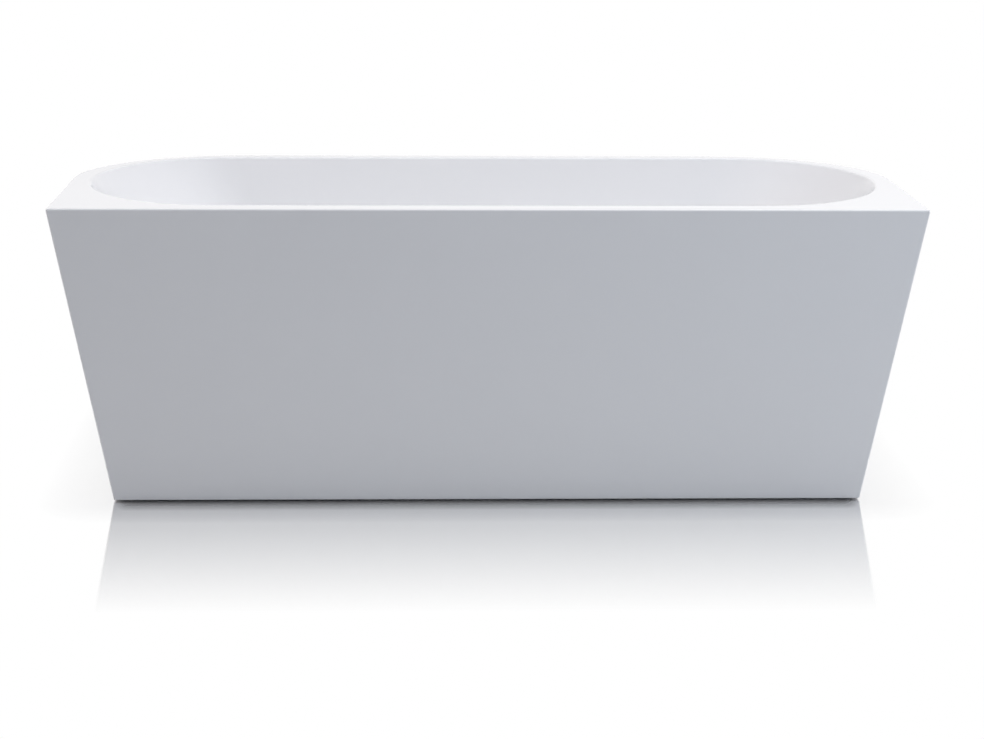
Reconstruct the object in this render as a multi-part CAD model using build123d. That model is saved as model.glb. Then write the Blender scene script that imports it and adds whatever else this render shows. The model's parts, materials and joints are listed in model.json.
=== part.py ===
"""Back-to-wall freestanding bathtub: a flat vertical back with square corners, a rounded front, tapered
sides and an oval basin. Millimetres, +Z up, +X along the bath, -Y towards the flat back.
The origin is on the floor, under the middle of the rim."""

import math
import os

from build123d import *

# Overall form
LENGTH = 1700.0
WIDTH = 750.0
HEIGHT = 580.0
BASE_LENGTH = 1470.0
BASE_WIDTH = 665.0
FLOOR_GAP = 3.0
FRONT_CORNER_RADIUS = 345.0
BASE_CORNER_RADIUS = 300.0
EDGE_RADIUS = 4.0
BOTTOM_EDGE_RADIUS = 2.0
BACK_TRIM = 10.0

# Basin
RIM_BACK = 50.0
RIM_FRONT = 33.0
RIM_END = 42.0
OPENING_END_REACH = 270.0
LIP_RADIUS = 5.0
FLOOR_Z = 145.0
FLOOR_LENGTH = 1120.0
FLOOR_WIDTH = 480.0
FLOOR_END_REACH = 190.0
COVE_RADIUS = 80.0
SHELL = 8.0
DECK = 8.0

# Skirt
SKIRT_WALL = 6.0
SKIRT_FLANGE = 6.0
TOP_FLANGE_WIDTH = 17.0
BOTTOM_FLANGE_WIDTH = 26.0

# Base board and steel frame
BOARD_LENGTH = 1000.0
BOARD_WIDTH = 340.0
BOARD_RADIUS = 120.0
BOARD = 15.0
BOARD_HOLE_RADIUS = 48.0
TUBE = 25.0
TUBE_WALL = 2.0
RAIL_LENGTH = 1080.0
RAIL_SPACING = 260.0
CROSS_BAR_PLACES = (-400.0, -130.0, 130.0, 400.0)
CAP_PLATE = 2.0
CAP_PLUG = 14.0
CAP_CLEARANCE = 0.2

# Skirt stays
STAY = 3.0
STAY_WIDTH = 32.0
STAY_TAB = 22.0
STAY_PLACES = (-300.0, 300.0)
STAY_DROP = 30.0

# Levelling feet
FOOT_PLACE_X = 490.0
STUD_RADIUS = 6.0
THREAD_CLEARANCE = 0.08
STUD_TOP_CLEARANCE = 3.0
STUD_HOLE_CLEARANCE = 0.6
NUT_ACROSS_FLATS = 19.0
NUT = 10.0
PAD_RADIUS = 25.0
PAD_TOP_RADIUS = 16.0
PAD = 16.0
PAD_RIM = 6.0
PAD_SOCKET = 9.0
SOCKET_CLEARANCE = 0.08

# Waste
SUMP_RADIUS = 37.0
SUMP = 2.5
WASTE_BORE = 20.0
BARREL_RADIUS = 23.0
BARREL_LENGTH = 42.0
BARREL_CLEARANCE = 0.3
FLANGE_RADIUS = 35.0
FLANGE = 3.0
SEAT_DEPTH = 2.0
GASKET = 1.5
GASKET_INSET = 1.0
WASHER = 4.0
BODY_RADIUS = 28.0
BODY_FLANGE_RADIUS = 38.0
BODY_FLANGE = 5.0
BODY_BOTTOM = 46.0
SPIGOT_RADIUS = 20.0
SPIGOT_BORE = 17.0
SPIGOT_LENGTH = 32.0
TENON_RADIUS = 19.0
TENON_CLEARANCE = 0.15
NECK_RADIUS = 24.0
NECK = 10.0
NECK_STEP = 2.0
INLET_RADIUS = 17.0
INLET_BORE = 13.0
INLET_HEIGHT = 70.0
INLET_REACH = 54.0
WEB = 4.0
WEB_DROP = 24.0
HUB_RADIUS = 10.0
ARM_WIDTH = 5.0
ARMS = 4

# Pop-up plug
CAP_RADIUS = 30.0
CAP_EDGE = 3.0
CAP_CROWN = 3.0
SEAL_GAP = 0.3
SEAL = 2.5
SEAL_SECTION = 2.0
STEM_RADIUS = 4.0
STEM_CLEARANCE = 0.08
STEM_HEAD_RADIUS = 5.5
STEM_HEAD = 3.0
CARTRIDGE_RADIUS = 7.5
CARTRIDGE_WALL = 1.2
CARTRIDGE_BOTTOM_DROP = 46.0
CARTRIDGE_COLLAR = 3.0
PLUG_TRAVEL = 10.0
SPRING_WIRE_RADIUS = 0.5
SPRING_TURNS = 6
SPRING_GAP = 0.3

# Overflow
OVERFLOW_DROP = 80.0
OVERFLOW_BORE = 22.0
COVER_RADIUS = 34.0
COVER = 9.0
COVER_WALL = 2.0
COVER_EDGE_RADIUS = 3.0
SLOT_WIDTH = 9.0
SLOT_HEIGHT = 4.0
SLOT_ANGLES = (-60.0, -30.0, 0.0, 30.0, 60.0)
SCREW_RADIUS = 3.0
SCREW_HEAD_RADIUS = 6.0
SCREW_HEAD = 2.5
SCREW_CLEARANCE = 0.1
ELBOW_FLANGE_RADIUS = 33.0
ELBOW_FLANGE = 4.0
ELBOW_RADIUS = 25.0
ELBOW_DEPTH = 30.0
ELBOW_WALL = 3.0
ELBOW_BRIDGE = 10.0
ELBOW_SPIGOT_DROP = 52.0
OVERFLOW_GASKET = 3.0

# Overflow hose
HOSE_RADIUS = 20.0
HOSE_CLEARANCE = 0.25
HOSE_GRIP = 20.0
HOSE_BEND = 110.0
CLIP_WIDTH = 9.0
CLIP = 1.2
CLIP_CLEARANCE = 0.2
CLIP_EAR = 8.0

# Levels and places worked out from the sizes above
BACK_Y = -WIDTH / 2
DECK_BOTTOM = HEIGHT - DECK
BASIN_DEPTH = HEIGHT - FLOOR_Z
SUMP_Z = FLOOR_Z - SUMP
SHELL_BOTTOM = FLOOR_Z - SHELL
BOARD_BOTTOM = SHELL_BOTTOM - BOARD
RAIL_BOTTOM = BOARD_BOTTOM - TUBE
RAIL_Y = RAIL_SPACING / 2
OPENING_LENGTH = LENGTH - 2 * RIM_END
OPENING_WIDTH = WIDTH - RIM_BACK - RIM_FRONT
BASIN_Y = (RIM_BACK - RIM_FRONT) / 2
OVERFLOW_HEIGHT = HEIGHT - OVERFLOW_DROP
END_LEAN = math.atan((OPENING_LENGTH - FLOOR_LENGTH) / 2 / BASIN_DEPTH)
SIDE_LEAN = math.atan((OPENING_WIDTH - FLOOR_WIDTH) / 2 / BASIN_DEPTH)
FOOT_PLACES = {
    "back_left": (-FOOT_PLACE_X, -RAIL_Y),
    "back_right": (FOOT_PLACE_X, -RAIL_Y),
    "front_left": (-FOOT_PLACE_X, RAIL_Y),
    "front_right": (FOOT_PLACE_X, RAIL_Y),
}
GASKET_TOP = SUMP_Z + GASKET
FLANGE_TOP = GASKET_TOP + FLANGE
BODY_TOP = SHELL_BOTTOM - WASHER
SPIGOT_BOTTOM = BODY_BOTTOM - SPIGOT_LENGTH
TAILPIECE_TOP = BODY_BOTTOM + NECK - NECK_STEP


def blend_between(low, high, share):
    """The value that far from low to high."""
    return low + (high - low) * share


def rounded_rectangle(length, width, radius, centre_y, z):
    """A level rounded rectangle."""
    return Pos(0, centre_y, z) * RectangleRounded(length, width, radius)


def oval(length, width, end_reach, centre_y, z):
    """A level outline with straight sides and ends that are half ellipses."""
    straight = length / 2 - end_reach
    half = width / 2
    edges = [
        Line((straight, half), (-straight, half)),
        EllipticalCenterArc((-straight, 0), end_reach, half, start_angle=90, arc_size=180),
        Line((-straight, -half), (straight, -half)),
        EllipticalCenterArc((straight, 0), end_reach, half, start_angle=270, arc_size=180),
    ]
    return Pos(0, centre_y, z) * make_face(edges)


def back_to_wall_outline(z, inset):
    """The outer outline at a height, moved in by inset: square at the back, where it runs past the flat
    back by what is trimmed off later, and rounded at the front."""
    share = (z - FLOOR_GAP) / (HEIGHT - FLOOR_GAP)
    length = blend_between(BASE_LENGTH, LENGTH, share) - 2 * inset
    back = BACK_Y + inset
    front = blend_between(BACK_Y + BASE_WIDTH, BACK_Y + WIDTH, share) - inset
    radius = blend_between(BASE_CORNER_RADIUS, FRONT_CORNER_RADIUS, share) - inset
    trimmed_back = back - BACK_TRIM
    outline = Rectangle(length, front - trimmed_back)
    outline = fillet(outline.vertices().group_by(Axis.Y)[-1], radius)
    return Pos(0, (front + trimmed_back) / 2, z) * outline


def tapered_block(low, high, inset):
    """The body between two heights, moved in by inset on every side, with its back trimmed flat."""
    block = loft([back_to_wall_outline(low, inset), back_to_wall_outline(high, inset)], ruled=True)
    return split(block, Plane((0, BACK_Y + inset, 0), z_dir=(0, 1, 0)), keep=Keep.TOP)


def basin_outline(z, skin):
    """The basin's outline at a height, moved out by a skin measured square to its walls."""
    share = (z - FLOOR_Z) / BASIN_DEPTH
    length = blend_between(FLOOR_LENGTH, OPENING_LENGTH, share) + 2 * skin / math.cos(END_LEAN)
    width = blend_between(FLOOR_WIDTH, OPENING_WIDTH, share) + 2 * skin / math.cos(SIDE_LEAN)
    end_reach = blend_between(FLOOR_END_REACH, OPENING_END_REACH, share) + skin / math.cos(END_LEAN)
    return oval(length, width, end_reach, BASIN_Y, z)


def basin_form(skin):
    """The basin as a solid, with its floor run into the walls by a wide cove."""
    form = loft([basin_outline(FLOOR_Z - skin, skin), basin_outline(HEIGHT, skin)], ruled=True)
    return fillet(form.edges().group_by(Axis.Z)[0], COVE_RADIUS + skin)


def ring(outer, inner, low, high):
    """An upright ring between two heights."""
    height = high - low
    return Pos(0, 0, (low + high) / 2) * (Cylinder(outer, height) - Cylinder(inner, height))


def disc(radius, low, high):
    """An upright cylinder between two heights."""
    return Pos(0, 0, (low + high) / 2) * Cylinder(radius, high - low)


def revolved(points):
    """A solid of revolution about Z from (radius, height) corner points."""
    return revolve(make_face(Plane.XZ * Polyline(*points, close=True)), Axis.Z)


# Outer body, from which the deck of the inner shell and the skirt are parted
def make_outer_body():
    body = tapered_block(FLOOR_GAP, HEIGHT, 0)
    back_edges = body.edges().filter_by(lambda e: abs(e.tangent_at(0.5).Z) > 0.5).group_by(Axis.Y)[0]
    rim_edges = body.edges().group_by(Axis.Z)[-1]
    body = fillet(back_edges + rim_edges, EDGE_RADIUS)
    return fillet(body.edges().group_by(Axis.Z)[0], BOTTOM_EDGE_RADIUS)


def make_inner_shell(outer_body):
    deck = split(outer_body, Plane.XY.offset(DECK_BOTTOM), keep=Keep.TOP)
    shell = deck + basin_form(SHELL) - basin_form(0)
    lip = basin_outline(HEIGHT, 0).wire()
    lip_edges = [e for e in shell.edges() if lip.distance_to(e @ 0.5) < 0.01]
    shell = fillet(lip_edges, LIP_RADIUS)
    shell -= disc(SUMP_RADIUS, SUMP_Z, FLOOR_Z + SUMP)
    shell -= disc(BARREL_RADIUS + BARREL_CLEARANCE, SHELL_BOTTOM - SHELL, FLOOR_Z)
    return shell - OVERFLOW_PLACE * Cylinder(OVERFLOW_BORE, 4 * SHELL)


def make_outer_skirt(outer_body):
    body = split(outer_body, Plane.XY.offset(DECK_BOTTOM), keep=Keep.BOTTOM)
    cavity_low = FLOOR_GAP + SKIRT_FLANGE
    cavity_high = DECK_BOTTOM - SKIRT_FLANGE
    body -= tapered_block(cavity_low, cavity_high, SKIRT_WALL)
    body -= tapered_block(cavity_high, DECK_BOTTOM, TOP_FLANGE_WIDTH)
    return body - tapered_block(FLOOR_GAP, cavity_low, BOTTOM_FLANGE_WIDTH)


# Overflow parts are placed square to the leaning back wall of the basin
def make_overflow_place():
    share = (OVERFLOW_HEIGHT - FLOOR_Z) / BASIN_DEPTH
    wall_y = BASIN_Y - blend_between(FLOOR_WIDTH, OPENING_WIDTH, share) / 2
    inward = Vector(0, math.cos(SIDE_LEAN), math.sin(SIDE_LEAN))
    return Plane((0, wall_y, OVERFLOW_HEIGHT), x_dir=(1, 0, 0), z_dir=inward)


OVERFLOW_PLACE = make_overflow_place().location


def make_overflow_cover():
    cover = disc(COVER_RADIUS, 0, COVER)
    cover = fillet(cover.edges().group_by(Axis.Z)[-1], COVER_EDGE_RADIUS)
    cover -= disc(COVER_RADIUS - COVER_WALL, 0, COVER - COVER_WALL)
    cover -= disc(SCREW_RADIUS + SCREW_CLEARANCE, 0, COVER)
    slot = Pos(0, -COVER_RADIUS, SLOT_HEIGHT) * Box(SLOT_WIDTH, 4 * COVER_WALL, SLOT_HEIGHT)
    for angle in SLOT_ANGLES:
        cover -= Rot(0, 0, angle) * slot
    return OVERFLOW_PLACE * cover


def make_overflow_screw():
    head = disc(SCREW_HEAD_RADIUS, COVER, COVER + SCREW_HEAD)
    head = fillet(head.edges().group_by(Axis.Z)[-1], SCREW_HEAD / 2)
    return OVERFLOW_PLACE * (head + disc(SCREW_RADIUS, -SHELL - ELBOW_FLANGE, COVER))


def make_overflow_gasket():
    back_face = -SHELL
    return OVERFLOW_PLACE * ring(ELBOW_FLANGE_RADIUS, OVERFLOW_BORE, back_face - OVERFLOW_GASKET, back_face)


ELBOW_FACE = -SHELL - OVERFLOW_GASKET
ELBOW_BACK = ELBOW_FACE - ELBOW_DEPTH
ELBOW_CENTRE = OVERFLOW_PLACE * Pos(0, 0, (ELBOW_FACE + ELBOW_BACK) / 2)
HOSE_Y = ELBOW_CENTRE.position.Y
ELBOW_SPIGOT_BOTTOM = ELBOW_CENTRE.position.Z - ELBOW_SPIGOT_DROP


def make_overflow_elbow():
    body = disc(ELBOW_RADIUS, ELBOW_BACK, ELBOW_FACE)
    body = fillet(body.edges().group_by(Axis.Z)[0], COVER_EDGE_RADIUS)
    body += disc(ELBOW_FLANGE_RADIUS, ELBOW_FACE - ELBOW_FLANGE, ELBOW_FACE)
    chamber = disc(ELBOW_RADIUS - ELBOW_WALL, ELBOW_BACK + ELBOW_WALL, ELBOW_FACE)
    bridge = Pos(0, 0, ELBOW_FACE - ELBOW_FLANGE / 2) * Box(2 * ELBOW_RADIUS, ELBOW_BRIDGE, ELBOW_FLANGE)
    bridge &= disc(ELBOW_RADIUS, ELBOW_BACK, ELBOW_FACE)
    screw_hole = disc(SCREW_RADIUS + SCREW_CLEARANCE, ELBOW_BACK + ELBOW_WALL, 0)
    spigot = Pos(0, HOSE_Y, 0) * disc(INLET_RADIUS, ELBOW_SPIGOT_BOTTOM, ELBOW_CENTRE.position.Z)
    spigot_bore = Pos(0, HOSE_Y, 0) * disc(INLET_BORE, ELBOW_SPIGOT_BOTTOM, ELBOW_CENTRE.position.Z)
    elbow = OVERFLOW_PLACE * body + (spigot - OVERFLOW_PLACE * chamber)
    elbow = elbow - OVERFLOW_PLACE * chamber - spigot_bore
    return elbow + OVERFLOW_PLACE * (bridge - screw_hole)


# Hose from the overflow down to the waste
HOSE_TOP = ELBOW_SPIGOT_BOTTOM + HOSE_GRIP
HOSE_END_Y = -INLET_REACH + HOSE_GRIP


def make_overflow_hose():
    route = [(0, HOSE_Y, HOSE_TOP), (0, HOSE_Y, INLET_HEIGHT), (0, HOSE_END_Y, INLET_HEIGHT)]
    path = FilletPolyline(*route, radius=HOSE_BEND)
    section = Circle(HOSE_RADIUS) - Circle(INLET_RADIUS + HOSE_CLEARANCE)
    return sweep(Plane(path @ 0, z_dir=path % 0) * section, path)


def make_hose_clip():
    inner = HOSE_RADIUS + CLIP_CLEARANCE
    clip = ring(inner + CLIP, inner, 0, CLIP_WIDTH)
    ear_box = Pos(0, inner + CLIP_EAR / 2, CLIP_WIDTH / 2) * Box(3 * CLIP, CLIP_EAR, CLIP_WIDTH)
    return clip + (ear_box - disc(inner, 0, CLIP_WIDTH))


def make_hose_clips():
    middle = (HOSE_GRIP - CLIP_WIDTH) / 2
    upper = Pos(0, HOSE_Y, HOSE_TOP - middle - CLIP_WIDTH) * Rot(0, 0, 90) * make_hose_clip()
    lower = Pos(0, HOSE_END_Y - middle, INLET_HEIGHT) * Rot(90, 0, 0) * make_hose_clip()
    return Compound([upper, lower])


# Waste under the middle of the floor
def make_waste_flange():
    neck = BARREL_RADIUS
    barrel_bottom = FLANGE_TOP - BARREL_LENGTH
    profile = [
        (WASTE_BORE, barrel_bottom),
        (neck, barrel_bottom),
        (neck, GASKET_TOP),
        (FLANGE_RADIUS, GASKET_TOP),
        (FLANGE_RADIUS, FLANGE_TOP - SEAT_DEPTH),
        (CAP_RADIUS + SEAT_DEPTH, FLANGE_TOP),
        (CAP_RADIUS, FLANGE_TOP - SEAT_DEPTH),
        (WASTE_BORE + SEAT_DEPTH, FLANGE_TOP - SEAT_DEPTH),
        (WASTE_BORE, FLANGE_TOP - 2 * SEAT_DEPTH),
    ]
    flange = revolved(profile)
    web_top = FLANGE_TOP - WEB_DROP
    arm = Pos(0, 0, web_top - WEB / 2) * Box(2 * WASTE_BORE + WEB / 2, ARM_WIDTH, WEB)
    web = disc(HUB_RADIUS, web_top - 2 * WEB, web_top)
    for index in range(ARMS // 2):
        web += Rot(0, 0, index * 360 / ARMS) * arm
    return flange + web - disc(CARTRIDGE_RADIUS + SOCKET_CLEARANCE, barrel_bottom, web_top)


def make_flange_gasket():
    return ring(FLANGE_RADIUS - GASKET_INSET, BARREL_RADIUS + BARREL_CLEARANCE, SUMP_Z, GASKET_TOP)


def make_waste_washer():
    return ring(BODY_FLANGE_RADIUS - GASKET_INSET, BARREL_RADIUS + BARREL_CLEARANCE, BODY_TOP, SHELL_BOTTOM)


def make_waste_body():
    bore = BARREL_RADIUS + BARREL_CLEARANCE
    neck_top = BODY_BOTTOM + NECK
    outer = [
        (0, BODY_BOTTOM),
        (NECK_RADIUS, BODY_BOTTOM),
        (NECK_RADIUS, neck_top),
        (BODY_RADIUS, neck_top + BODY_RADIUS - NECK_RADIUS),
        (BODY_RADIUS, BODY_TOP - BODY_FLANGE),
        (BODY_FLANGE_RADIUS, BODY_TOP - BODY_FLANGE),
        (BODY_FLANGE_RADIUS, BODY_TOP),
        (0, BODY_TOP),
    ]
    inner = [
        (0, BODY_BOTTOM),
        (TENON_RADIUS + TENON_CLEARANCE, BODY_BOTTOM),
        (TENON_RADIUS + TENON_CLEARANCE, TAILPIECE_TOP),
        (SPIGOT_BORE, TAILPIECE_TOP),
        (SPIGOT_BORE, neck_top),
        (bore, neck_top + bore - SPIGOT_BORE),
        (bore, BODY_TOP),
        (0, BODY_TOP),
    ]
    inlet_place = Pos(0, -INLET_REACH / 2, INLET_HEIGHT) * Rot(90, 0, 0)
    body = revolved(outer) + inlet_place * Cylinder(INLET_RADIUS, INLET_REACH)
    return body - revolved(inner) - inlet_place * Cylinder(INLET_BORE, INLET_REACH)


def make_waste_tailpiece():
    spigot = ring(SPIGOT_RADIUS, SPIGOT_BORE, SPIGOT_BOTTOM, BODY_BOTTOM)
    return spigot + ring(TENON_RADIUS, SPIGOT_BORE, BODY_BOTTOM, TAILPIECE_TOP)


# Pop-up plug and the spring cartridge that it slides in
SEAT_Z = FLANGE_TOP - SEAT_DEPTH
SEAL_TOP = SEAT_Z + SEAL_GAP + SEAL
CAP_TOP = SEAL_TOP + CAP_EDGE
CARTRIDGE_TOP = FLANGE_TOP - WEB_DROP + CARTRIDGE_COLLAR
CARTRIDGE_BOTTOM = FLANGE_TOP - CARTRIDGE_BOTTOM_DROP
CARTRIDGE_BORE = CARTRIDGE_RADIUS - CARTRIDGE_WALL
CARTRIDGE_FLOOR = CARTRIDGE_BOTTOM + CARTRIDGE_WALL
STEM_HEAD_TOP = CARTRIDGE_TOP - CARTRIDGE_WALL - SPRING_GAP - PLUG_TRAVEL
SPRING_TOP = STEM_HEAD_TOP - STEM_HEAD - SPRING_GAP


def make_plug_cap():
    crown_radius = (CAP_RADIUS**2 + CAP_CROWN**2) / (2 * CAP_CROWN)
    crown = Pos(0, 0, CAP_TOP + CAP_CROWN - crown_radius) * Sphere(crown_radius)
    return disc(CAP_RADIUS, SEAL_TOP, CAP_TOP + CAP_CROWN) & crown


def make_plug_seal():
    seal_radius = CAP_RADIUS - SEAL_SECTION
    return ring(seal_radius, seal_radius - 2 * SEAL_SECTION, SEAT_Z + SEAL_GAP, SEAL_TOP)


def make_plug_stem():
    return disc(STEM_RADIUS, STEM_HEAD_TOP, SEAL_TOP) + disc(
        STEM_HEAD_RADIUS, STEM_HEAD_TOP - STEM_HEAD, STEM_HEAD_TOP
    )


def make_plug_cartridge():
    collar_bottom = FLANGE_TOP - WEB_DROP
    cartridge = disc(CARTRIDGE_RADIUS, CARTRIDGE_BOTTOM, CARTRIDGE_TOP)
    cartridge += disc(HUB_RADIUS, collar_bottom, CARTRIDGE_TOP)
    cartridge -= disc(CARTRIDGE_BORE, CARTRIDGE_FLOOR, CARTRIDGE_TOP - CARTRIDGE_WALL)
    return cartridge - disc(STEM_RADIUS + STEM_CLEARANCE, CARTRIDGE_FLOOR, CARTRIDGE_TOP)


def make_plug_spring():
    """A coil of tilted half circles, which run into each other level."""
    low = CARTRIDGE_FLOOR + SPRING_GAP + SPRING_WIRE_RADIUS
    half_rise = (SPRING_TOP - SPRING_WIRE_RADIUS - low) / (2 * SPRING_TURNS)
    coil = CARTRIDGE_BORE - 2 * SPRING_WIRE_RADIUS
    arcs = []
    for half_turn in range(2 * SPRING_TURNS):
        side = 1 if half_turn % 2 == 0 else -1
        z = low + half_turn * half_rise
        start = (side * coil, 0, z)
        middle = (0, side * coil, z + half_rise / 2)
        end = (-side * coil, 0, z + half_rise)
        arcs.append(ThreePointArc(start, middle, end))
    path = Wire(arcs)
    return sweep(Plane(path @ 0, z_dir=path % 0) * Circle(SPRING_WIRE_RADIUS), path)


# Base board and steel frame
def make_base_board():
    board = extrude(rounded_rectangle(BOARD_LENGTH, BOARD_WIDTH, BOARD_RADIUS, 0, BOARD_BOTTOM), BOARD)
    return board - disc(BOARD_HOLE_RADIUS, BOARD_BOTTOM, SHELL_BOTTOM)


def make_tube(length):
    """A square tube along X, standing on its underside."""
    section = Rectangle(TUBE, TUBE) - Rectangle(TUBE - 2 * TUBE_WALL, TUBE - 2 * TUBE_WALL)
    return Pos(-length / 2, 0, TUBE / 2) * extrude(Plane.YZ * section, length)


def make_rail(side):
    rail = Pos(0, side * RAIL_Y, RAIL_BOTTOM) * make_tube(RAIL_LENGTH)
    hole = disc(STUD_RADIUS + STUD_HOLE_CLEARANCE, RAIL_BOTTOM, BOARD_BOTTOM)
    for x in (-FOOT_PLACE_X, FOOT_PLACE_X):
        rail -= Pos(x, side * RAIL_Y, 0) * hole
    return rail


def make_cross_bars():
    bar = Rot(0, 0, 90) * make_tube(RAIL_SPACING - TUBE)
    return Compound([Pos(x, 0, RAIL_BOTTOM) * bar for x in CROSS_BAR_PLACES])


def make_rail_caps():
    inner = TUBE - 2 * TUBE_WALL - 2 * CAP_CLEARANCE
    plate = Pos(CAP_PLATE / 2, 0, 0) * Box(CAP_PLATE, TUBE, TUBE)
    plate = fillet(plate.edges().filter_by(Axis.X), TUBE_WALL)
    cap = plate + Pos(-CAP_PLUG / 2, 0, 0) * Box(CAP_PLUG, inner, inner)
    middle = RAIL_BOTTOM + TUBE / 2
    caps = []
    for y in (-RAIL_Y, RAIL_Y):
        caps.append(Pos(RAIL_LENGTH / 2, y, middle) * cap)
        caps.append(Pos(-RAIL_LENGTH / 2, y, middle) * Rot(0, 0, 180) * cap)
    return Compound(caps)


def make_stay(side):
    """A bent strap from a rail's outer face down to the skirt's bottom flange."""
    flange_top = FLOOR_GAP + SKIRT_FLANGE
    rail_face = RAIL_Y + TUBE / 2
    skirt_face = -BACK_Y if side < 0 else BACK_Y + BASE_WIDTH
    tip = skirt_face - SKIRT_WALL - SKIRT_FLANGE
    heel = tip - STAY_TAB
    bend = RAIL_BOTTOM - STAY_DROP
    profile = [
        (rail_face, BOARD_BOTTOM),
        (rail_face, bend),
        (heel, flange_top),
        (tip, flange_top),
        (tip, flange_top + STAY),
        (heel + STAY, flange_top + STAY),
        (rail_face + STAY, bend + STAY),
        (rail_face + STAY, BOARD_BOTTOM),
    ]
    face = make_face(Plane.YZ * Polyline(*profile, close=True))
    strap = Pos(-STAY_WIDTH / 2, 0, 0) * extrude(face, STAY_WIDTH)
    return strap if side > 0 else mirror(strap, Plane.XZ)


def make_skirt_stays():
    return Compound([Pos(x, 0, 0) * make_stay(side) for side in (-1, 1) for x in STAY_PLACES])


# Levelling feet
def make_nuts(low):
    hexagon = RegularPolygon(NUT_ACROSS_FLATS / 2, 6, major_radius=False)
    nut = extrude(hexagon - Circle(STUD_RADIUS + THREAD_CLEARANCE), NUT)
    return Compound([Pos(x, y, low) * nut for x, y in FOOT_PLACES.values()])


def make_foot_stud(x, y):
    stud_bottom = PAD - PAD_SOCKET
    return Pos(x, y, 0) * disc(STUD_RADIUS, stud_bottom, BOARD_BOTTOM - STUD_TOP_CLEARANCE)


def make_foot_pad(x, y):
    profile = [
        (0, 0),
        (PAD_RADIUS, 0),
        (PAD_RADIUS, PAD_RIM),
        (PAD_TOP_RADIUS, PAD),
        (0, PAD),
    ]
    socket = disc(STUD_RADIUS + SOCKET_CLEARANCE, PAD - PAD_SOCKET, PAD)
    return Pos(x, y, 0) * (revolved(profile) - socket)


def main():
    outer_body = make_outer_body()
    parts = {
        "inner_shell": make_inner_shell(outer_body),
        "outer_skirt": make_outer_skirt(outer_body),
        "base_board": make_base_board(),
        "back_rail": make_rail(-1),
        "front_rail": make_rail(1),
        "cross_bars": make_cross_bars(),
        "rail_end_caps": make_rail_caps(),
        "skirt_stays": make_skirt_stays(),
        "weld_nuts": make_nuts(RAIL_BOTTOM - NUT),
        "lock_nuts": make_nuts(RAIL_BOTTOM - 2 * NUT),
        "waste_flange": make_waste_flange(),
        "flange_gasket": make_flange_gasket(),
        "waste_washer": make_waste_washer(),
        "waste_body": make_waste_body(),
        "waste_tailpiece": make_waste_tailpiece(),
        "plug_cap": make_plug_cap(),
        "plug_seal": make_plug_seal(),
        "plug_stem": make_plug_stem(),
        "plug_cartridge": make_plug_cartridge(),
        "plug_spring": make_plug_spring(),
        "overflow_cover": make_overflow_cover(),
        "overflow_screw": make_overflow_screw(),
        "overflow_gasket": make_overflow_gasket(),
        "overflow_elbow": make_overflow_elbow(),
        "overflow_hose": make_overflow_hose(),
        "hose_clips": make_hose_clips(),
    }
    for corner, (x, y) in FOOT_PLACES.items():
        parts[f"{corner}_foot_stud"] = make_foot_stud(x, y)
        parts[f"{corner}_foot_pad"] = make_foot_pad(x, y)
    os.makedirs("parts", exist_ok=True)
    for name, shape in parts.items():
        export_step(shape, f"parts/{name}.step")


main()
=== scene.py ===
import json
import math

import bmesh
import bpy
from mathutils import Matrix, Vector


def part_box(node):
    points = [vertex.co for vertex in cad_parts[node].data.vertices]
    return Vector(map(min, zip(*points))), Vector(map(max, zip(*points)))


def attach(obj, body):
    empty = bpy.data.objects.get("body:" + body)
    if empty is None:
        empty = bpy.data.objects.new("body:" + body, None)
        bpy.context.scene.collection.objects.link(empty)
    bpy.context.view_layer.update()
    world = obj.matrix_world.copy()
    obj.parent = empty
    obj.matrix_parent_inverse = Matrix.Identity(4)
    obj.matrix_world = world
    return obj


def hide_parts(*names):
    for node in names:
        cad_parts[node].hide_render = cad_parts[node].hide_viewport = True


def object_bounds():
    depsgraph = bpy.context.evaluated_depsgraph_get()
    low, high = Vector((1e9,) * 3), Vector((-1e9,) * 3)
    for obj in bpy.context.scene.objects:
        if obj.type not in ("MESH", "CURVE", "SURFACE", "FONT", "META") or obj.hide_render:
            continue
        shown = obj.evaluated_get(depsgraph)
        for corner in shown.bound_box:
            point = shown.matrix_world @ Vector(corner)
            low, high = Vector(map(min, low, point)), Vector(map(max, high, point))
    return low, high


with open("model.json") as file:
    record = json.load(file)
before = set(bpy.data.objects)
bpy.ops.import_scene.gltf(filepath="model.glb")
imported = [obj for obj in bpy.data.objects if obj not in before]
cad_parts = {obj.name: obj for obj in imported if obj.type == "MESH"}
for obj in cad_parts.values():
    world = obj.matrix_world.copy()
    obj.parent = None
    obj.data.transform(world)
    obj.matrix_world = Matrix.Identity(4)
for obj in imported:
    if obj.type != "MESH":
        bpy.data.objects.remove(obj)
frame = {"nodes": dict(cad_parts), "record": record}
cad_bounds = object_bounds()
nodes = frame["nodes"]
scene = bpy.context.scene

# Places that the frame gives, in metres
lowest, highest = cad_bounds
BACK_Y = lowest.y
rail_low, rail_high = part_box("front_rail")
RAIL_BOTTOM, RAIL_TOP = rail_low.z, rail_high.z
RAIL_Y = (rail_low.y + rail_high.y) / 2
TUBE = RAIL_TOP - RAIL_BOTTOM

# Mouldings
DECK = 0.008
DECK_BOTTOM = highest.z - DECK
BASE_HALF_LENGTH = 0.735
BASIN_Y = 0.0085
BASIN_HALF_STRAIGHT = 0.350
SKIRT_HALF_STRAIGHT = 0.400
SKIRT_FOOT = 0.006

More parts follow.
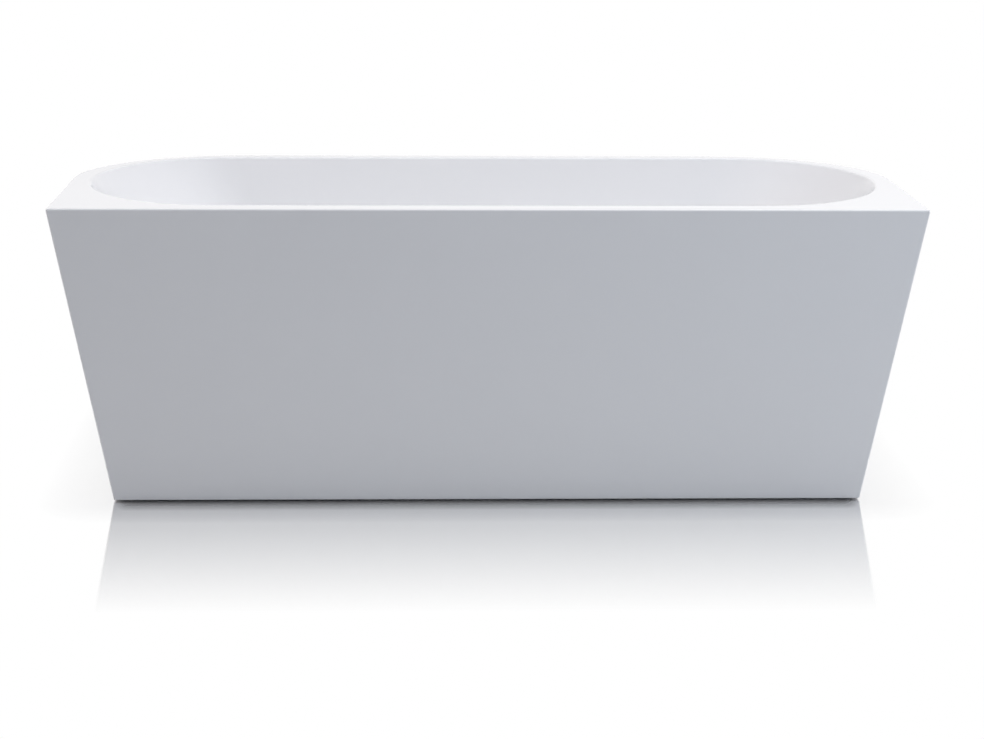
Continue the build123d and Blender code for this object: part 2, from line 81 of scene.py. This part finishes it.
# Levelling feet: M12 studs and nuts
FOOT_X = 0.490
FEET = {
    "back_left": (-FOOT_X, -RAIL_Y),
    "back_right": (FOOT_X, -RAIL_Y),
    "front_left": (-FOOT_X, RAIL_Y),
    "front_right": (FOOT_X, RAIL_Y),
}
STUD_RADIUS = 0.006
THREAD_ROOT = 0.0051
THREAD_PITCH = 0.00175
NUT_ACROSS = 0.019
NUT = 0.010
NUT_BORE = 0.00608
NUT_FACE_SHARE = 0.96
NUT_CHAMFER = math.radians(30)

# Weld beads
NUT_WELD_TURNS = (30, 120, 210, 300)
NUT_WELD_REACH = 0.0102
NUT_WELD_DROP = 0.0012
NUT_WELD_LENGTH = 0.0064
NUT_WELD_RADIUS = 0.0017
SIDE_WELD_RADIUS = 0.0024
BOTTOM_WELD_RADIUS = 0.0016
WELD_INSET = 0.001
WELD_RIPPLE = 0.14

# Frame and stays
CROSS_BAR_PLACES = (-0.400, -0.130, 0.130, 0.400)
STAY_PLACES = (-0.300, 0.300)
STAY = 0.003
BACK_TAB_Y = -0.356
FRONT_TAB_Y = 0.269
TAB_TOP = 0.012
STAY_SCREW_SPREAD = 0.008
SCREW_ACROSS = 0.008
SCREW_HEAD = 0.0042
WASHER_RADIUS = 0.0065
WASHER = 0.0010
NO_BORE = 0.0001

# Overflow hose
HOSE_RADIUS = 0.020
HOSE_BORE = 0.01725
HOSE_ROOT = 0.0180
HOSE_BEND = 0.110
HOSE_CUFF = 0.024
HOSE_CUFF_STEP = 0.001
HOSE_RIB_PITCH = 0.0065
HOSE_GROOVE = (0.15, 0.40)
HOSE_CREST = (0.55, 0.95)
HOSE_BORE_STEPS = 40

# Edges sharper than these angles, in degrees, stay sharp
MOULDING_EDGE = 24
CAD_EDGE = 30
NUT_EDGE = 25
THREAD_EDGE = 40
WELD_EDGE = 50
HOSE_EDGE = 60


# Material nodes
def new_material(name):
    mat = bpy.data.materials.new(name)
    mat.use_nodes = True
    tree = mat.node_tree
    return mat, tree, tree.nodes["Principled BSDF"]


def feed(tree, term, socket):
    """Gives an input its value: a number is set, and a socket is linked."""
    if isinstance(term, (int, float)):
        socket.default_value = term
    else:
        tree.links.new(term, socket)


def math_node(tree, operation, *terms):
    node = tree.nodes.new("ShaderNodeMath")
    node.operation = operation
    for term, socket in zip(terms, node.inputs):
        feed(tree, term, socket)
    return node.outputs[0]


def remap(tree, source, before, after):
    """A value that runs over one range, spread over another and held at its ends."""
    node = tree.nodes.new("ShaderNodeMapRange")
    node.inputs["From Min"].default_value, node.inputs["From Max"].default_value = before
    node.inputs["To Min"].default_value, node.inputs["To Max"].default_value = after
    tree.links.new(source, node.inputs["Value"])
    return node.outputs["Result"]


def ramp(tree, source, stops):
    """A colour ramp fed by a socket; stops are (place, colour)."""
    node = tree.nodes.new("ShaderNodeValToRGB")
    elements = node.color_ramp.elements
    while len(elements) < len(stops):
        elements.new(0.5)
    for element, (place, colour) in zip(elements, stops):
        element.position = place
        element.color = (*colour, 1.0)
    tree.links.new(source, node.inputs["Fac"])
    return node.outputs["Color"]


def blended(tree, blend_type, share, first, second):
    """Two colours mixed or multiplied."""
    node = tree.nodes.new("ShaderNodeMix")
    node.data_type = "RGBA"
    node.blend_type = blend_type
    feed(tree, share, node.inputs["Factor"])
    tree.links.new(first, node.inputs["A"])
    tree.links.new(second, node.inputs["B"])
    return node.outputs["Result"]


def mixed(tree, share, first, second):
    """Two shaders mixed: all first at 0, all second at 1."""
    node = tree.nodes.new("ShaderNodeMixShader")
    tree.links.new(share, node.inputs["Fac"])
    tree.links.new(first, node.inputs[1])
    tree.links.new(second, node.inputs[2])
    return node.outputs[0]


def object_coords(tree):
    return tree.nodes.new("ShaderNodeTexCoord").outputs["Object"]


def axes_of(tree, vector):
    """The X, Y and Z sockets of a vector."""
    node = tree.nodes.new("ShaderNodeSeparateXYZ")
    tree.links.new(vector, node.inputs["Vector"])
    return node.outputs


def noise(tree, scale, detail=3.0, stretch=(1, 1, 1)):
    mapping = tree.nodes.new("ShaderNodeMapping")
    mapping.inputs["Scale"].default_value = stretch
    node = tree.nodes.new("ShaderNodeTexNoise")
    node.inputs["Scale"].default_value = scale
    node.inputs["Detail"].default_value = detail
    tree.links.new(object_coords(tree), mapping.inputs["Vector"])
    tree.links.new(mapping.outputs["Vector"], node.inputs["Vector"])
    return node.outputs["Fac"]


def bump(tree, shader, source, strength, distance):
    node = tree.nodes.new("ShaderNodeBump")
    node.inputs["Strength"].default_value = strength
    node.inputs["Distance"].default_value = distance
    tree.links.new(source, node.inputs["Height"])
    tree.links.new(node.outputs["Normal"], shader.inputs["Normal"])


# Materials
UNIT = (0.0, 1.0)
PLY = 0.003


def drifting_material(name, dark, light, scale, rough, metallic=0.0, ior=1.5):
    """A surface whose colour and gloss drift a little from place to place."""
    mat, tree, shader = new_material(name)
    drift = noise(tree, scale)
    colour = ramp(tree, drift, [(0.3, dark), (0.7, light)])
    tree.links.new(colour, shader.inputs["Base Color"])
    tree.links.new(remap(tree, drift, UNIT, rough), shader.inputs["Roughness"])
    shader.inputs["Metallic"].default_value = metallic
    shader.inputs["IOR"].default_value = ior
    return mat


def make_glass_fibre():
    """Sprayed glass-fibre backing: rough, milky, with chopped strands."""
    mat, tree, shader = new_material("glass_fibre")
    strands = noise(tree, 55.0, 6.0, (1.0, 0.25, 1.0))
    shades = [(0.3, (0.50, 0.49, 0.45)), (0.55, (0.63, 0.62, 0.58)), (0.75, (0.70, 0.69, 0.65))]
    tree.links.new(ramp(tree, strands, shades), shader.inputs["Base Color"])
    tree.links.new(remap(tree, strands, UNIT, (0.45, 0.75)), shader.inputs["Roughness"])
    bump(tree, shader, strands, 0.5, 0.002)
    return mat


def make_plywood():
    """Grain along X on the faces; plies, light and dark in turn, on the edges."""
    mat, tree, shader = new_material("plywood")
    grain = noise(tree, 30.0, 6.0, (0.08, 1.0, 1.0))
    shades = [(0.3, (0.42, 0.28, 0.15)), (0.5, (0.58, 0.42, 0.25)), (0.7, (0.66, 0.50, 0.32))]
    face = ramp(tree, grain, shades)
    plies = math_node(tree, "PINGPONG", axes_of(tree, object_coords(tree))["Z"], PLY)
    layers = [(0.4, (0.36, 0.23, 0.12)), (0.6, (0.64, 0.48, 0.31))]
    edge = ramp(tree, remap(tree, plies, (0.0, PLY), UNIT), layers)
    normal = tree.nodes.new("ShaderNodeNewGeometry").outputs["True Normal"]
    level = math_node(tree, "ABSOLUTE", axes_of(tree, normal)["Z"])
    tree.links.new(blended(tree, "MIX", level, edge, face), shader.inputs["Base Color"])
    tree.links.new(remap(tree, grain, UNIT, (0.55, 0.8)), shader.inputs["Roughness"])
    bump(tree, shader, grain, 0.25, 0.0006)
    return mat


def make_galvanised():
    """Zinc spangle: flat crystals of slightly different grey."""
    mat, tree, shader = new_material("galvanised_steel")
    crystals = tree.nodes.new("ShaderNodeTexVoronoi")
    crystals.inputs["Scale"].default_value = 120.0
    tree.links.new(object_coords(tree), crystals.inputs["Vector"])
    shade = tree.nodes.new("ShaderNodeSeparateColor")
    tree.links.new(crystals.outputs["Color"], shade.inputs["Color"])
    greys = [(0.0, (0.46, 0.47, 0.49)), (1.0, (0.66, 0.67, 0.69))]
    tree.links.new(ramp(tree, shade.outputs["Red"], greys), shader.inputs["Base Color"])
    rough = remap(tree, shade.outputs["Green"], UNIT, (0.32, 0.52))
    tree.links.new(rough, shader.inputs["Roughness"])
    shader.inputs["Metallic"].default_value = 1.0
    return mat


# Darkest and lightest colour, scale of the drift, range of roughness, metallic, IOR
DRIFTING = {
    "white_acrylic": ((0.918, 0.921, 0.929), (0.928, 0.931, 0.937), 1.7, (0.10, 0.15), 0.0, 1.49),
    "zinc_plated_steel": ((0.60, 0.60, 0.58), (0.72, 0.71, 0.66), 60.0, (0.22, 0.38), 1.0),
    "chrome_plate": ((0.66, 0.67, 0.68), (0.72, 0.72, 0.73), 9.0, (0.04, 0.09), 1.0),
    "bare_brass": ((0.66, 0.50, 0.21), (0.76, 0.60, 0.28), 40.0, (0.22, 0.34), 1.0),
    "black_plastic": ((0.020, 0.020, 0.021), (0.034, 0.034, 0.035), 70.0, (0.42, 0.60)),
    "white_plastic": ((0.76, 0.76, 0.75), (0.81, 0.81, 0.80), 30.0, (0.32, 0.44)),
    "grey_plastic": ((0.46, 0.47, 0.48), (0.56, 0.57, 0.58), 30.0, (0.36, 0.50)),
    "seal_rubber": ((0.030, 0.030, 0.030), (0.050, 0.050, 0.050), 80.0, (0.60, 0.80)),
}
GLASS_FIBRE = make_glass_fibre()
SLOT_MATERIALS = {slot: drifting_material(slot, *look) for slot, look in DRIFTING.items()}
SLOT_MATERIALS["plywood"] = make_plywood()
SLOT_MATERIALS["galvanised_steel"] = make_galvanised()


# CAD nodes
FACE_TOLERANCE = 0.0005
LEVEL_NORMAL = 0.9
STEEP_NORMAL = 0.3
DOWNWARD_NORMAL = -0.05
INWARD_NORMAL = -0.01


def shade_smooth(obj, degrees):
    """Smooth faces, with edges sharper than an angle kept."""
    for poly in obj.data.polygons:
        poly.use_smooth = True
    obj.data.set_sharp_from_angle(angle=math.radians(degrees))


def outward_from(centre, half_straight, middle_y):
    """The way out of a long oval at a point, from the nearest point of its middle line."""
    middle_x = max(-half_straight, min(half_straight, centre.x))
    return Vector((centre.x - middle_x, centre.y - middle_y, 0.0))


def is_back_of_shell(centre, normal):
    """Faces of the basin that look down or outwards, under the deck."""
    if centre.z > DECK_BOTTOM - FACE_TOLERANCE:
        return False
    outward = outward_from(centre, BASIN_HALF_STRAIGHT, BASIN_Y)
    looks_out = normal.z < STEEP_NORMAL and outward.dot(normal) > 0.0
    return looks_out or normal.z < DOWNWARD_NORMAL


def is_back_of_skirt(centre, normal):
    """Faces of the skirt that look inwards, and the level faces of its flanges."""
    outward = outward_from(centre, SKIRT_HALF_STRAIGHT, 0.0)
    between = SKIRT_FOOT < centre.z < DECK_BOTTOM - FACE_TOLERANCE
    level = between and abs(normal.z) > LEVEL_NORMAL
    return level or outward.dot(normal) < INWARD_NORMAL


def back_with_fibre(obj, is_backing):
    """Acrylic on the faces that show, glass fibre behind."""
    obj.data.materials.append(GLASS_FIBRE)
    for poly in obj.data.polygons:
        poly.material_index = 1 if is_backing(poly.center, poly.normal) else 0


def paint_nodes():
    mouldings = {"inner_shell": is_back_of_shell, "outer_skirt": is_back_of_skirt}
    for part in frame["record"]["subparts"]:
        name = part["node"]
        obj = nodes[name]
        obj.data.materials.clear()
        obj.data.materials.append(SLOT_MATERIALS[part["material_slot"]])
        shade_smooth(obj, MOULDING_EDGE if name in mouldings else CAD_EDGE)
        if name in mouldings:
            back_with_fibre(obj, mouldings[name])


# Meshes made here
def add_mesh(name, piece, slot, body, smooth):
    """A piece of (vertices, faces) that rides on a body, in its slot's material."""
    verts, faces = piece
    mesh = bpy.data.meshes.new(name)
    mesh.from_pydata([tuple(v) for v in verts], [], faces)
    welded = bmesh.new()
    welded.from_mesh(mesh)
    bmesh.ops.remove_doubles(welded, verts=welded.verts, dist=1e-6)
    bmesh.ops.recalc_face_normals(welded, faces=welded.faces)
    welded.to_mesh(mesh)
    welded.free()
    obj = bpy.data.objects.new(name, mesh)
    scene.collection.objects.link(obj)
    mesh.materials.append(SLOT_MATERIALS[slot])
    shade_smooth(obj, smooth)
    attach(obj, body)
    return obj


def skin_rings(rings, close_ends=True):
    """A tube through closed rings of equally many points."""
    count = len(rings[0])
    verts = [p for ring in rings for p in ring]
    faces = []
    for i in range(len(rings) - 1):
        for k in range(count):
            a = i * count + k
            b = i * count + (k + 1) % count
            faces.append((a, b, b + count, a + count))
    if close_ends:
        faces.append(tuple(reversed(range(count))))
        last = (len(rings) - 1) * count
        faces.append(tuple(range(last, last + count)))
    return verts, faces


def joined(pieces):
    """Several pieces as one."""
    verts, faces = [], []
    for some_verts, some_faces in pieces:
        start = len(verts)
        verts += some_verts
        faces += [tuple(i + start for i in face) for face in some_faces]
    return verts, faces


def moved(piece, place, turn=Matrix.Identity(4)):
    """A piece turned, then moved."""
    verts, faces = piece
    matrix = Matrix.Translation(place) @ turn
    return [matrix @ Vector(v) for v in verts], faces


def circle(centre, radius, across, up, count):
    """Points round a centre in the plane of two directions."""
    angles = [2 * math.pi * k / count for k in range(count)]
    return [centre + radius * (math.cos(a) * across + math.sin(a) * up) for a in angles]


def lathe(profile, count=32):
    """Rings about Z from (radius, height) points, closed at both ends."""
    x_way, y_way = Vector((1, 0, 0)), Vector((0, 1, 0))
    return skin_rings([circle(Vector((0, 0, z)), r, x_way, y_way, count) for r, z in profile])


def threaded_rod(low, high, count=24, steps=6):
    """A rod whose radius follows a right-hand thread, chamfered at both ends."""
    depth = STUD_RADIUS - THREAD_ROOT
    rows = int(round((high - low) / THREAD_PITCH * steps))
    rings = []
    for row in range(rows + 1):
        z = low + (high - low) * row / rows
        limit = THREAD_ROOT + min(z - low, high - z, depth)
        ring = []
        for k in range(count):
            angle = 2 * math.pi * k / count
            place = ((z - low) / THREAD_PITCH - k / count) % 1.0
            # Slanted flanks between a flat crest and a flat root
            flank = 2.2 * (1 - abs(2 * place - 1)) - 0.5
            radius = min(limit, THREAD_ROOT + depth * max(0.0, min(1.0, flank)))
            ring.append(Vector((radius * math.cos(angle), radius * math.sin(angle), z)))
        rings.append(ring)
    return skin_rings(rings)


def hexagon_nut(across, height, bore, count=72):
    """A hexagon nut with its corners chamfered at both faces."""
    flat = across / 2
    face = NUT_FACE_SHARE * flat
    rings = [[] for _ in range(6)]
    for k in range(count):
        angle = 2 * math.pi * k / count
        from_flat = (math.degrees(angle) + 30) % 60 - 30
        corner = flat / math.cos(math.radians(from_flat))
        drop = (corner - face) * math.tan(NUT_CHAMFER)
        way = Vector((math.cos(angle), math.sin(angle), 0))
        levels = (
            (bore, 0.0),
            (face, 0.0),
            (corner, drop),
            (corner, height - drop),
            (face, height),
            (bore, height),
        )
        for ring, (radius, z) in zip(rings, levels):
            ring.append(way * radius + Vector((0, 0, z)))
    return skin_rings(rings + [rings[0]], close_ends=False)


def weld_bead(start, end, radius, lumps):
    """A row of overlapping ripples between two points, thinner at its ends."""
    along = end - start
    side = along.orthogonal().normalized()
    other = along.normalized().cross(side)
    steps = lumps * 4
    rings = []
    for i in range(steps + 1):
        share = i / steps
        taper = min(1.0, 8 * share * (1 - share) + 0.25)
        ripple = 1 - WELD_RIPPLE + WELD_RIPPLE * abs(math.sin(math.pi * lumps * share))
        rings.append(circle(start + along * share, radius * taper * ripple, side, other, count=10))
    return skin_rings(rings)


# Levelling feet: threads on the studs, chamfers on the nuts, welds round the upper nuts
def nut_welds(x, y):
    beads = []
    for degrees in NUT_WELD_TURNS:
        turn = math.radians(degrees)
        way = Vector((math.cos(turn), math.sin(turn), 0))
        half = NUT_WELD_LENGTH / 2 * Vector((-math.sin(turn), math.cos(turn), 0))
        middle = Vector((x, y, RAIL_BOTTOM - NUT_WELD_DROP)) + NUT_WELD_REACH * way
        beads.append(weld_bead(middle - half, middle + half, NUT_WELD_RADIUS, lumps=3))
    return beads


def dress_feet():
    nut = hexagon_nut(NUT_ACROSS, NUT, NUT_BORE)
    lock_nuts, weld_nuts, beads = [], [], []
    for corner, (x, y) in FEET.items():
        low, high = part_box(f"{corner}_foot_stud")
        rod = moved(threaded_rod(low.z, high.z), (x, y, 0))
        body = f"{corner}_stud"
        stud = add_mesh(f"{corner}_thread", rod, "zinc_plated_steel", body, THREAD_EDGE)
        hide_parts(f"{corner}_foot_stud")
        # Each lock nut stops at a turn of its own
        lock_turn = Matrix.Rotation(0.3 + x + y, 4, "Z")
        lock_nuts.append(moved(nut, (x, y, RAIL_BOTTOM - 2 * NUT), lock_turn))
        weld_nuts.append(moved(nut, (x, y, RAIL_BOTTOM - NUT)))
        beads += nut_welds(x, y)
    for name, nuts in (("lock_nuts", lock_nuts), ("weld_nuts", weld_nuts)):
        obj = add_mesh(f"chamfered_{name}", joined(nuts), "zinc_plated_steel", "tub", NUT_EDGE)
        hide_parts(name)
    add_mesh("nut_welds", joined(beads), "galvanised_steel", "tub", WELD_EDGE)


# Frame: weld beads where the cross bars meet the rails
def dress_frame():
    half = TUBE / 2
    beads = []
    for x in CROSS_BAR_PLACES:
        for y in (-(RAIL_Y - half), RAIL_Y - half):
            for edge in (x - half, x + half):
                bottom = Vector((edge, y, RAIL_BOTTOM + WELD_INSET))
                top = Vector((edge, y, RAIL_TOP - WELD_INSET))
                beads.append(weld_bead(bottom, top, SIDE_WELD_RADIUS, lumps=7))
            left = Vector((x - half, y, RAIL_BOTTOM))
            right = Vector((x + half, y, RAIL_BOTTOM))
            beads.append(weld_bead(left, right, BOTTOM_WELD_RADIUS, lumps=8))
    add_mesh("frame_welds", joined(beads), "galvanised_steel", "tub", WELD_EDGE)


# Stays: two screws into the rail and two into the skirt's flange
def hexagon_screw():
    disc = [(NO_BORE, 0.0), (WASHER_RADIUS, 0.0), (WASHER_RADIUS, WASHER), (NO_BORE, WASHER)]
    head = hexagon_nut(SCREW_ACROSS, SCREW_HEAD, NO_BORE, count=48)
    return joined([lathe(disc), moved(head, (0, 0, WASHER))])


def dress_stays():
    screw = hexagon_screw()
    pieces = []
    for x in STAY_PLACES:
        for side, tab_y in ((-1, BACK_TAB_Y), (1, FRONT_TAB_Y)):
            face = side * (RAIL_Y + TUBE / 2 + STAY)
            turn = Matrix.Rotation(math.radians(-90 * side), 4, "X")
            for screw_x in (x - STAY_SCREW_SPREAD, x + STAY_SCREW_SPREAD):
                pieces.append(moved(screw, (screw_x, face, RAIL_TOP - TUBE / 2), turn))
                pieces.append(moved(screw, (screw_x, tab_y, TAB_TOP)))
    add_mesh("stay_screws", joined(pieces), "zinc_plated_steel", "tub", NUT_EDGE)


# Overflow hose: plain cuffs on the spigots, ribs between them
def hose_profile(length):
    """(distance, radius) points along the outside and back along the bore."""
    ribbed = length - 2 * HOSE_CUFF
    ribs = int(ribbed / HOSE_RIB_PITCH)
    pitch = ribbed / ribs
    profile = [(0.0, HOSE_BORE), (0.0, HOSE_RADIUS), (HOSE_CUFF, HOSE_RADIUS)]
    for rib in range(ribs):
        start = HOSE_CUFF + rib * pitch
        profile += [(start + share * pitch, HOSE_ROOT) for share in HOSE_GROOVE]
        profile += [(start + share * pitch, HOSE_RADIUS) for share in HOSE_CREST]
    cuff_start = length - HOSE_CUFF + HOSE_CUFF_STEP
    profile += [(cuff_start, HOSE_RADIUS), (length, HOSE_RADIUS)]
    way_back = [1 - k / HOSE_BORE_STEPS for k in range(HOSE_BORE_STEPS + 1)]
    return profile + [(length * share, HOSE_BORE) for share in way_back]


def dress_hose():
    low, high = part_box("overflow_hose")
    hose_y, low_z = low.y + HOSE_RADIUS, low.z + HOSE_RADIUS
    drop = high.z - low_z - HOSE_BEND
    arc = math.pi / 2 * HOSE_BEND
    length = drop + arc + (high.y - hose_y - HOSE_BEND)
    bend_centre = Vector((0, hose_y + HOSE_BEND, low_z + HOSE_BEND))
    across = Vector((1, 0, 0))
    rings = []
    for distance, radius in hose_profile(length):
        # Down to the bend, round it, then level to the waste
        angle = max(0.0, min(math.pi / 2, (distance - drop) / HOSE_BEND))
        way = Vector((0, math.sin(angle), -math.cos(angle)))
        place = bend_centre + HOSE_BEND * Vector((0, -math.cos(angle), -math.sin(angle)))
        place += way * (min(0.0, distance - drop) + max(0.0, distance - drop - arc))
        rings.append(circle(place, radius, across, way.cross(across), count=28))
    tube = skin_rings(rings, close_ends=False)
    hose = add_mesh("ribbed_hose", tube, "grey_plastic", "tub", HOSE_EDGE)
    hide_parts("overflow_hose")


# Floor and backdrop. Each REACH is a distance in metres from the bath's foot
WHITE = (1.0, 1.0, 1.0, 1.0)
FLOOR_SIZE = 40.0
FLOOR_ROUGHNESS = 0.40
POLISH_ROUGHNESS = 0.06
WHITE_REACH = 0.15
MIRROR_REACH = 0.68
MIRROR_FALL = 1.3
MIRROR = 0.78
# Painted contact shadow: the floor's reflection darkened to this share at the foot of the flat
# face, lifting over this reach
PAINTED_CONTACT_SHADOW_REACH = 0.065
PAINTED_CONTACT_SHADOW = 0.02
# Painted soft shadow: the floor's colour darkened to this share at the foot of the flat face,
# lifting over this reach
PAINTED_SOFT_SHADOW_REACH = 0.30
PAINTED_SOFT_SHADOW = 0.75
CORNER_X = 0.70
CORNER_TAPER = 2.0
FILL = 0.09
FILL_COLOUR = (0.64, 0.75, 1.0, 1.0)


def seen_directly(tree):
    """1 for camera, glossy and transmission rays, 0 for light bounced off a matt surface."""
    rays = tree.nodes.new("ShaderNodeLightPath").outputs
    shiny = math_node(tree, "MAXIMUM", rays["Is Glossy Ray"], rays["Is Transmission Ray"])
    return math_node(tree, "MAXIMUM", rays["Is Camera Ray"], shiny)


def past(tree, source, limit):
    """How far a coordinate lies beyond a limit on either side; 0 within it."""
    size = math_node(tree, "ABSOLUTE", source)
    return math_node(tree, "MAXIMUM", math_node(tree, "SUBTRACT", size, limit), 0.0)


def hypotenuse(tree, first, second):
    squares = [math_node(tree, "MULTIPLY", side, side) for side in (first, second)]
    return math_node(tree, "SQRT", math_node(tree, "ADD", *squares))


def make_floor():
    """A pale polished floor that keeps the bath's shadow, shows its fading reflection and runs
    into the white backdrop. Painted shadow darkens it in front of the flat face, most along its
    foot."""
    bpy.ops.mesh.primitive_plane_add(size=FLOOR_SIZE, location=(0, 0, 0))
    floor = bpy.context.object
    floor.name = "floor"
    mat, tree, shader = new_material("pale_floor")
    place = axes_of(tree, object_coords(tree))
    beyond = past(tree, place["Y"], -BACK_Y)
    away = hypotenuse(tree, past(tree, place["X"], BASE_HALF_LENGTH), beyond)
    corner = math_node(tree, "MULTIPLY", past(tree, place["X"], CORNER_X), CORNER_TAPER)
    ahead = hypotenuse(tree, corner, beyond)
    elsewhere = math_node(tree, "GREATER_THAN", place["Y"], BACK_Y)

    pale = [(0.3, (0.68, 0.68, 0.685)), (0.7, (0.69, 0.69, 0.695))]
    # Painted soft shadow: the floor's colour darkened in front of the flat face, most at its foot
    painted_soft_shadow = remap(tree, ahead, (0.0, PAINTED_SOFT_SHADOW_REACH), (PAINTED_SOFT_SHADOW, 1.0))
    painted_soft_shadow = math_node(tree, "MAXIMUM", painted_soft_shadow, elsewhere)
    colour = blended(tree, "MULTIPLY", 1.0, ramp(tree, noise(tree, 0.6), pale), painted_soft_shadow)
    tree.links.new(colour, shader.inputs["Base Color"])
    shader.inputs["Roughness"].default_value = FLOOR_ROUGHNESS

    backdrop = tree.nodes.new("ShaderNodeEmission")
    backdrop.inputs["Color"].default_value = WHITE
    backdrop.inputs["Strength"].default_value = 1.0

    polish = tree.nodes.new("ShaderNodeBsdfAnisotropic")
    polish.inputs["Roughness"].default_value = POLISH_ROUGHNESS
    # Painted contact shadow: the reflection darkened near the foot of the flat face, narrowed at
    # the corners
    painted_contact_shadow = remap(tree, ahead, (0.0, PAINTED_CONTACT_SHADOW_REACH), (PAINTED_CONTACT_SHADOW, 1.0))
    painted_contact_shadow = math_node(tree, "MAXIMUM", painted_contact_shadow, elsewhere)
    tree.links.new(painted_contact_shadow, polish.inputs["Color"])

    seen = seen_directly(tree)
    white = math_node(tree, "MULTIPLY", remap(tree, away, (0.0, WHITE_REACH), UNIT), seen)
    fall = math_node(tree, "POWER", remap(tree, away, (0.0, MIRROR_REACH), UNIT), MIRROR_FALL)
    mirror = math_node(tree, "MULTIPLY", math_node(tree, "SUBTRACT", 1.0, fall), MIRROR)
    mirror = math_node(tree, "MULTIPLY", mirror, seen)
    surface = mixed(tree, white, shader.outputs[0], backdrop.outputs[0])
    surface = mixed(tree, mirror, surface, polish.outputs[0])
    tree.links.new(surface, tree.nodes["Material Output"].inputs["Surface"])
    floor.data.materials.append(mat)


def make_world():
    """White where it is seen, a dim cool fill where it lights."""
    world = bpy.data.worlds.new("studio")
    scene.world = world
    world.use_nodes = True
    tree = world.node_tree
    tree.nodes.clear()
    shaders = []
    for colour, strength in ((FILL_COLOUR, FILL), (WHITE, 1.0)):
        background = tree.nodes.new("ShaderNodeBackground")
        background.inputs["Color"].default_value = colour
        background.inputs["Strength"].default_value = strength
        shaders.append(background.outputs[0])
    out = tree.nodes.new("ShaderNodeOutputWorld")
    tree.links.new(mixed(tree, seen_directly(tree), *shaders), out.inputs["Surface"])


# Lamps and camera
NEUTRAL = (1.0, 0.982, 0.988)
COOL = (0.76, 0.87, 1.0)
WARM = (1.0, 0.93, 0.92)
TOP_LAMP = (6.0, 2.0)
SIDE_LAMP = (1.2, 1.2)
END_LAMP = (0.6, 1.6)
PHOTO_WIDTH = 984
FOCAL_PIXELS = 2419.0
SENSOR_WIDTH = 36.0
CAMERA_REACH = 200.0
CAMERA_PLACE = (-0.1672, -4.9581, 1.3159)
CAMERA_YAW = math.radians(2.146)
CAMERA_PITCH = math.radians(12.904)
CAMERA_ROLL = math.radians(0.429)


def make_lamp(name, place, target, size, power, colour, mirrored=True):
    """A soft lamp; mirrored says whether gloss shows its shape."""
    lamp = bpy.data.lights.new(name, "AREA")
    lamp.shape = "RECTANGLE"
    lamp.size, lamp.size_y = size
    lamp.energy = power
    lamp.color = colour
    obj = bpy.data.objects.new(name, lamp)
    scene.collection.objects.link(obj)
    obj.location = place
    way = Vector(target) - Vector(place)
    obj.rotation_euler = way.to_track_quat("-Z", "Y").to_euler()
    obj.visible_glossy = mirrored


def make_lamps():
    make_lamp("top_light", (0.8, -0.5, 4.0), (0.7, -0.1, 0.0), TOP_LAMP, 139.0, NEUTRAL, False)
    make_lamp("side_light", (2.4, -2.4, 1.6), (0.2, BACK_Y, 0.3), SIDE_LAMP, 18.5, COOL)
    make_lamp("left_light", (-3.2, -0.05, 1.35), (0.7, 0.0, 0.5), END_LAMP, 27.0, WARM)
    make_lamp("right_light", (3.2, -0.05, 1.35), (-0.7, 0.0, 0.5), END_LAMP, 13.0, WARM)


def make_camera():
    """Camera placed by a fit to the photograph's face corners and rim."""
    level_ahead = Vector((math.sin(CAMERA_YAW), math.cos(CAMERA_YAW), 0))
    right = Vector((math.cos(CAMERA_YAW), -math.sin(CAMERA_YAW), 0))
    down = Vector((0, 0, -1))
    ahead = math.cos(CAMERA_PITCH) * level_ahead + math.sin(CAMERA_PITCH) * down
    up = right.cross(ahead)
    rolled_right = math.cos(CAMERA_ROLL) * right + math.sin(CAMERA_ROLL) * up
    rolled_up = math.cos(CAMERA_ROLL) * up - math.sin(CAMERA_ROLL) * right
    data = bpy.data.cameras.new("camera")
    data.sensor_fit = "HORIZONTAL"
    data.sensor_width = SENSOR_WIDTH
    data.lens = FOCAL_PIXELS / PHOTO_WIDTH * SENSOR_WIDTH
    data.clip_end = CAMERA_REACH
    camera = bpy.data.objects.new("camera", data)
    scene.collection.objects.link(camera)
    axes = Matrix((rolled_right, rolled_up, -ahead)).transposed().to_4x4()
    camera.matrix_world = Matrix.Translation(CAMERA_PLACE) @ axes
    scene.camera = camera


paint_nodes()
dress_feet()
dress_frame()
dress_stays()
dress_hose()
make_floor()
make_world()
make_lamps()
make_camera()
scene.view_settings.view_transform = "Standard"
